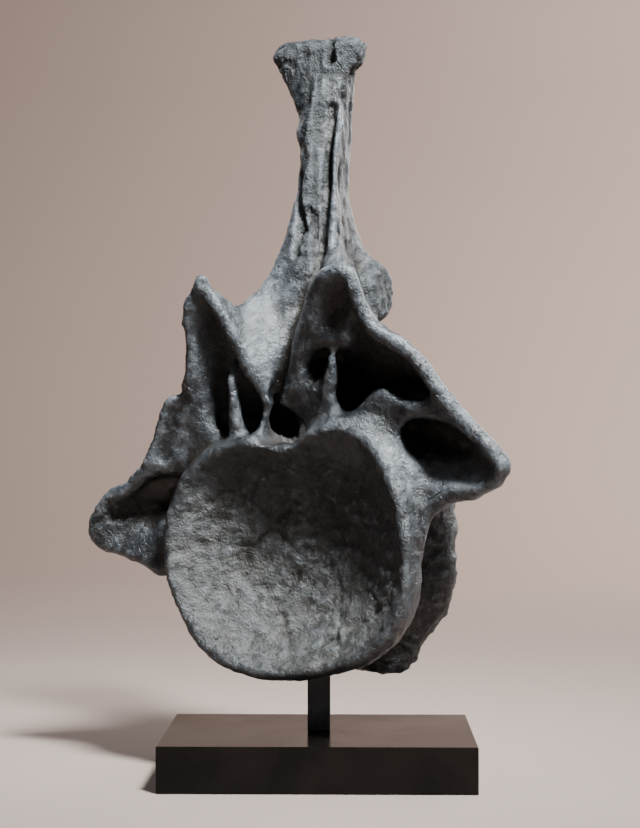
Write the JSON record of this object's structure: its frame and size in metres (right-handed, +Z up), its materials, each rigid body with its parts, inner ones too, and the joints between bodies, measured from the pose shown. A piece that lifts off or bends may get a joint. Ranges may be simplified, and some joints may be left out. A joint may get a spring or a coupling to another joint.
{
  "type": "fossil sauropod vertebra on stand",
  "caption": "Fossil tail vertebra of a long-necked dinosaur, with tall spine, winged arch and dished front, held on a post over a flat block.",
  "frame": {"origin": "middle of the underside of the stand's base block", "axes": "+Z up along the post and the spine, -Y out of the long front side of the base, +X to the viewer's right; the bone is turned 26 degrees about Z on its post, its dished front face towards -Y and -X"},
  "size_m": [0.4732, 0.287, 0.8265],
  "materials": {
    "fossil_bone": "mottled dark grey mineral with brown patches, fine cracks and a low sheen",
    "bronzed_block": "dark bronzed metal with a satin polish",
    "blackened_steel": "matte black"
  },
  "bodies": {
    "root": {"vertebra": "fossil_bone", "stand_base": "bronzed_block", "stand_post": "blackened_steel"}
  },
  "joints": []
}
